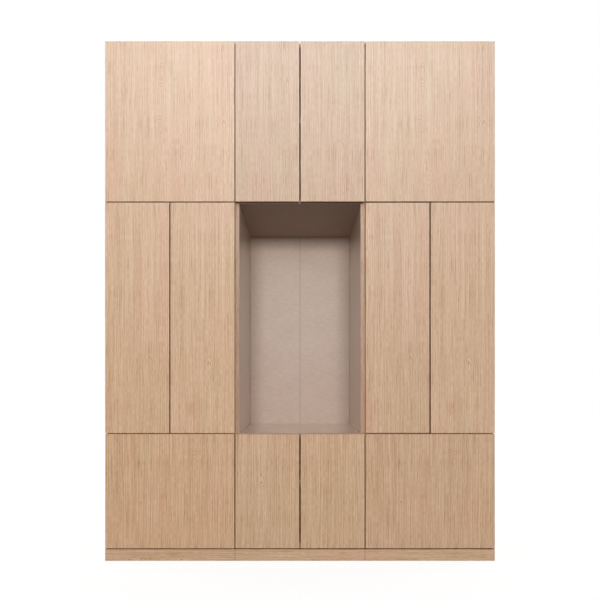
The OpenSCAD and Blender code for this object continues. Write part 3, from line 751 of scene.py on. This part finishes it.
class WARDROBE_OT_screws(bpy.types.Operator):
    """Adds the cross-recessed screws of the hinges, latches, rail sockets, brackets and bolts"""

    bl_idname = "wardrobe.screws"
    bl_label = "Screws"

    def execute(self, context):
        fittings = context.scene.wardrobe_fittings
        screw_r = fittings.screw_r
        small_r = screw_r * 0.85
        nickel = bpy.data.materials["Nickel plate"]
        self.hinge_screws(screw_r, nickel)
        self.plate_screws(screw_r, nickel)
        self.arm_screws(screw_r, nickel)
        self.latch_screws(small_r, nickel)
        self.socket_screws(small_r, nickel)
        self.bracket_screws(screw_r, nickel)
        self.bolt_heads(nickel)
        return {"FINISHED"}

    def hinge_screws(self, radius, material):
        """Two in the ears of each hinge cup, on the back of the door."""
        apart = 45 * MM
        ear_from_edge = 8.5 * MM
        rise, recess = 0.9 * MM, 0.8 * MM
        for name in sorted(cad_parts):
            if not name.startswith("hinge_cups_"):
                continue
            places = []
            for low, high in large(solids(name), 40 * MM):
                middle = (low[2] + high[2]) / 2
                x = at_hand((low, high), ear_from_edge)
                places += [(x, high[1], middle + end * apart / 2) for end in (-1, 1)]
            door = name.removeprefix("hinge_cups_")
            heads(f"hinge_cup_screws_{door}", places, (0, 1, 0), radius, rise, recess,
                  f"door_{door}", material)

    def plate_screws(self, radius, material):
        """Two in the wings of each mounting plate, through the front row of holes."""
        apart = 32 * MM
        from_front = 12 * MM
        wing_t = 2 * MM
        rise, recess = 0.9 * MM, 0.8 * MM
        places, ways = [], []
        for box in solids("hinge_plates"):
            hand = hand_of(box)
            foot = box[0][0] if hand > 0 else box[1][0]
            middle = (box[0][2] + box[1][2]) / 2
            places += [(foot + hand * wing_t, box[0][1] + from_front, middle + end * apart / 2)
                       for end in (-1, 1)]
            ways += [(hand, 0, 0)] * 2
        heads("mounting_plate_screws", places, ways, radius, rise, recess, "carcass", material)

    def arm_screws(self, radius, material):
        """One to set each hinge arm sideways and one to fix it on its plate."""
        from_rear = (8 * MM, 27 * MM)
        rise, recess = 0.7 * MM, 0.6 * MM
        places, ways = [], []
        for box in solids("hinge_arms"):
            hand = hand_of(box)
            middle = (box[0][2] + box[1][2]) / 2
            places += [(at_hand(box, 0), box[1][1] - behind, middle) for behind in from_rear]
            ways += [(hand, 0, 0)] * 2
        heads("hinge_arm_screws", places, ways, radius, rise, recess, "carcass", material)

    def latch_screws(self, radius, material):
        """Four under the foot of each push latch."""
        beside = 10 * MM
        behind_front = (12 * MM, 44 * MM)
        foot_t = 3 * MM
        rise, recess = 0.8 * MM, 0.7 * MM
        places = []
        for low, high in solids("latch_housings"):
            middle = (low[0] + high[0]) / 2
            places += [(middle + side * beside, low[1] + behind, high[2] - foot_t)
                       for side in (-1, 1) for behind in behind_front]
        heads("latch_screws", places, (0, 0, -1), radius, rise, recess, "carcass", material)

    def socket_screws(self, radius, material):
        """Two in the plate of each rail socket."""
        base_t = 3 * MM
        from_end = 3 * MM
        rise, recess = 0.7 * MM, 0.6 * MM
        places, ways = [], []
        for box in solids("rail_sockets"):
            hand = hand_of(box)
            foot = box[0][0] if hand > 0 else box[1][0]
            middle = (box[0][1] + box[1][1]) / 2
            places += [(foot + hand * base_t, middle, height)
                       for height in (box[0][2] + from_end, box[1][2] - from_end)]
            ways += [(hand, 0, 0)] * 2
        heads("rail_socket_screws", places, ways, radius, rise, recess, "carcass", material)

    def bracket_screws(self, radius, material):
        """One up into the top board from each wall bracket."""
        thick = 2.5 * MM
        behind = 25 * MM
        rise, recess = 0.9 * MM, 0.8 * MM
        places = [((low[0] + high[0]) / 2, high[1] - behind, high[2] - thick)
                  for low, high in solids("wall_brackets")]
        heads("bracket_screws", places, (0, 0, -1), radius, rise, recess, "carcass", material)

    def bolt_heads(self, material):
        """A domed head with a cross recess on both ends of each connecting bolt."""
        radius, rise, recess = 6.2 * MM, 1.4 * MM, 1.2 * MM
        places, ways = [], []
        for low, high in solids("connecting_bolts"):
            middle = (low + high) / 2
            places += [(low[0], middle[1], middle[2]), (high[0], middle[1], middle[2])]
            ways += [(-1, 0, 0), (1, 0, 0)]
        heads("connecting_bolt_heads", places, ways, radius, rise, recess, "carcass", material)


class WARDROBE_OT_cams(bpy.types.Operator):
    """Adds the round cams that draw the boards against the sides, two at each end of a board"""

    bl_idname = "wardrobe.cams"
    bl_label = "Cams"

    def execute(self, context):
        radius = context.scene.wardrobe_fittings.cam_r
        nickel = bpy.data.materials["Nickel plate"]
        from_end = 24 * MM
        from_edge = 70 * MM
        rise, recess = 0.35 * MM, 0.3 * MM
        for name, way in (("top_boards", -1), ("upper_fixed_shelves", 1),
                          ("lower_fixed_shelves", -1), ("bottom_boards", 1)):
            places = []
            for low, high in solids(name):
                level = high[2] if way > 0 else low[2]
                places += [(x, y, level) for x in (low[0] + from_end, high[0] - from_end)
                           for y in (low[1] + from_edge, high[1] - from_edge)]
            heads(f"cams_{name}", places, (0, 0, way), radius, rise, recess, "carcass", nickel)
        return {"FINISHED"}


def background_rays(tree):
    """1 for the rays that see the studio as white: the camera's, reflections and those through
    glass; 0 for the rest."""
    path = tree.nodes.new("ShaderNodeLightPath")
    shown = path.outputs["Is Camera Ray"]
    for output in ("Is Glossy Ray", "Is Transmission Ray"):
        either = tree.nodes.new("ShaderNodeMath")
        either.operation = "MAXIMUM"
        tree.links.new(shown, either.inputs[0])
        tree.links.new(path.outputs[output], either.inputs[1])
        shown = either.outputs[0]
    return shown


class WARDROBE_OT_studio(bpy.types.Operator):
    """Adds the white floor and surroundings, the lights and the camera"""

    bl_idname = "wardrobe.studio"
    bl_label = "Studio"

    def execute(self, context):
        studio = context.scene.wardrobe_studio
        self.surroundings(context.scene, studio)
        self.floor()
        self.lights(studio)
        self.camera(context.scene, studio)
        context.scene.view_settings.view_transform = "Standard"
        return {"FINISHED"}

    def surroundings(self, scene, studio):
        """White to the camera, to reflections and through glass; a low even light to surfaces."""
        world = bpy.data.worlds.new("Studio")
        scene.world = world
        world.use_nodes = True
        tree = world.node_tree
        level = tree.nodes.new("ShaderNodeMix")
        level.data_type = "FLOAT"
        level.inputs["A"].default_value = studio.ambient
        level.inputs["B"].default_value = 1.0
        tree.links.new(background_rays(tree), level.inputs["Factor"])
        background = tree.nodes["Background"]
        background.inputs["Color"].default_value = (1, 1, 1, 1)
        tree.links.new(level.outputs["Result"], background.inputs["Strength"])

    def floor(self):
        """A floor that is white to the camera and in reflections but for the wardrobe's shadow, and
        dim to other rays. Near the wardrobe it is a little less white, for the shadow to show."""
        half = 20.0
        near_squared, far_squared, near_white = 2.0, 9.0, 0.9
        dim = (0.16, 0.16, 0.16, 1)
        corners = [(-half, -half, 0), (half, -half, 0), (half, half, 0), (-half, half, 0)]
        mesh = bpy.data.meshes.new("floor")
        mesh.from_pydata(corners, [], [[0, 1, 2, 3]])
        floor = bpy.data.objects.new("floor", mesh)
        bpy.context.scene.collection.objects.link(floor)
        floor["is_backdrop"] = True
        finish = Finish("Studio floor")
        shown = Value(finish, background_rays(finish.tree))
        x, y, _ = finish.place()
        white = finish.node("ShaderNodeMapRange", {"interpolation_type": "SMOOTHSTEP"},
                            {"Value": x * x + y * y, "From Min": near_squared,
                             "From Max": far_squared, "To Min": near_white, "To Max": 1.0})
        finish.set(Base_Color=dim, Emission_Color=(1, 1, 1, 1), Emission_Strength=shown * white,
                   Roughness=0.9, Specular_IOR_Level=0.0)
        mesh.materials.append(finish.material)

    def lights(self, studio):
        """A broad key in front, a low-angled lamp at each side, two behind for the rear, one beside
        each flank and one overhead that stand behind the doors' plane, and a wall of three light
        boxes over the camera that only show as sheen."""
        front = float(WARDROBE_LOW[1])
        self.lamp("Key", at=(0, front - 14, 2.7), towards=(0, front, 2.3), size=(4.8, 2.3),
                  level=studio.key)
        for side in (-1, 1):
            self.lamp(f"Side {side:+d}", at=(side * 9.5, front - 7.4, 4.6),
                      towards=(0, front, 1.2), size=(2.2, 2.2), level=studio.side)
            self.lamp(f"Rear {side:+d}", at=(side * 4.5, front + 5.5, 3.2),
                      towards=(0, 0.3, 1.2), size=(2.0, 2.0), level=studio.rear)
            self.lamp(f"Flank {side:+d}", at=(side * 6.0, front + 1.9, 2.2),
                      towards=(side * 0.9, 0, 1.2), size=(1.8, 1.8), level=studio.flank)
        self.lamp("Overhead", at=(0, front + 1.5, 6.0), towards=(0, 0, 2.4), size=(2.4, 1.6),
                  level=studio.overhead)
        self.light_box("Top light box", low=4.5, high=6.8, radiance=studio.sheen_top)
        self.light_box("Middle light box", low=3.0, high=4.5, radiance=studio.sheen_middle)
        self.light_box("Low light box", low=1.2, high=3.0, radiance=studio.sheen_low)

    def light_box(self, name, low, high, radiance):
        """A part of the wall of light boxes, between two heights, that shows only as sheen."""
        x, y = -0.2, float(WARDROBE_LOW[1])
        before, width = 4.5, 6.5
        height = (low + high) / 2
        box = self.lamp(name, (x, y - before, height), (x, y, height), (width, high - low), 1.0)
        box.data.energy = radiance * math.pi * width * (high - low)
        box.data.cycles.use_multiple_importance_sampling = False
        box.visible_glossy = True
        box.visible_diffuse = box.visible_transmission = box.visible_volume_scatter = False

    def lamp(self, name, at, towards, size, level):
        """A rectangular lamp that gives a white surface facing it this level where it aims."""
        data = bpy.data.lights.new(name, "AREA")
        data.shape = "RECTANGLE"
        data.size, data.size_y = size
        aim = Vector(towards) - Vector(at)
        data.energy = level * (math.pi * aim.length) ** 2
        lamp = bpy.data.objects.new(name, data)
        bpy.context.scene.collection.objects.link(lamp)
        lamp.location = at
        lamp.rotation_euler = aim.to_track_quat("-Z", "Y").to_euler()
        lamp.visible_camera = lamp.visible_glossy = False
        return lamp

    def camera(self, scene, studio):
        """A level camera square to the doors, shifted up so that the uprights stay upright."""
        data = bpy.data.cameras.new("Camera")
        camera = bpy.data.objects.new("Camera", data)
        scene.collection.objects.link(camera)
        camera.location = (0, float(WARDROBE_LOW[1]) - studio.distance, studio.eye)
        camera.rotation_euler = (math.pi / 2, 0, 0)
        data.sensor_width = 36
        data.lens = data.sensor_width * studio.distance / studio.frame_w
        data.shift_y = (studio.frame_centre - studio.eye) / studio.frame_w
        scene.camera = camera


class WARDROBE_PT_panel(bpy.types.Panel):
    """Lists the steps and the sizes and colours that they use"""

    bl_idname = "WARDROBE_PT_panel"
    bl_label = "Wardrobe"
    bl_space_type = "VIEW_3D"
    bl_region_type = "UI"
    bl_category = "Wardrobe"

    def draw(self, context):
        for group in (context.scene.wardrobe_decors, context.scene.wardrobe_fittings,
                      context.scene.wardrobe_studio):
            box = self.layout.box()
            for name in group.__annotations__:
                box.prop(group, name)
        for step in STEPS:
            self.layout.operator(step.bl_idname)


GROUPS = {"wardrobe_decors": WardrobeDecors, "wardrobe_fittings": WardrobeFittings,
          "wardrobe_studio": WardrobeStudio}
STEPS = [WARDROBE_OT_studio, WARDROBE_OT_doors, WARDROBE_OT_boards, WARDROBE_OT_plinth,
         WARDROBE_OT_backs, WARDROBE_OT_metal, WARDROBE_OT_plastic, WARDROBE_OT_screws,
         WARDROBE_OT_cams]


def register():
    for made in [*GROUPS.values(), *STEPS, WARDROBE_PT_panel]:
        bpy.utils.register_class(made)
    for name, group in GROUPS.items():
        setattr(bpy.types.Scene, name, bpy.props.PointerProperty(type=group))


def unregister():
    for name in GROUPS:
        delattr(bpy.types.Scene, name)
    for made in reversed([*GROUPS.values(), *STEPS, WARDROBE_PT_panel]):
        bpy.utils.unregister_class(made)


def main():
    register()
    for step in STEPS:
        section, name = step.bl_idname.split(".")
        getattr(getattr(bpy.ops, section), name)()


if __name__ == "__main__":
    main()
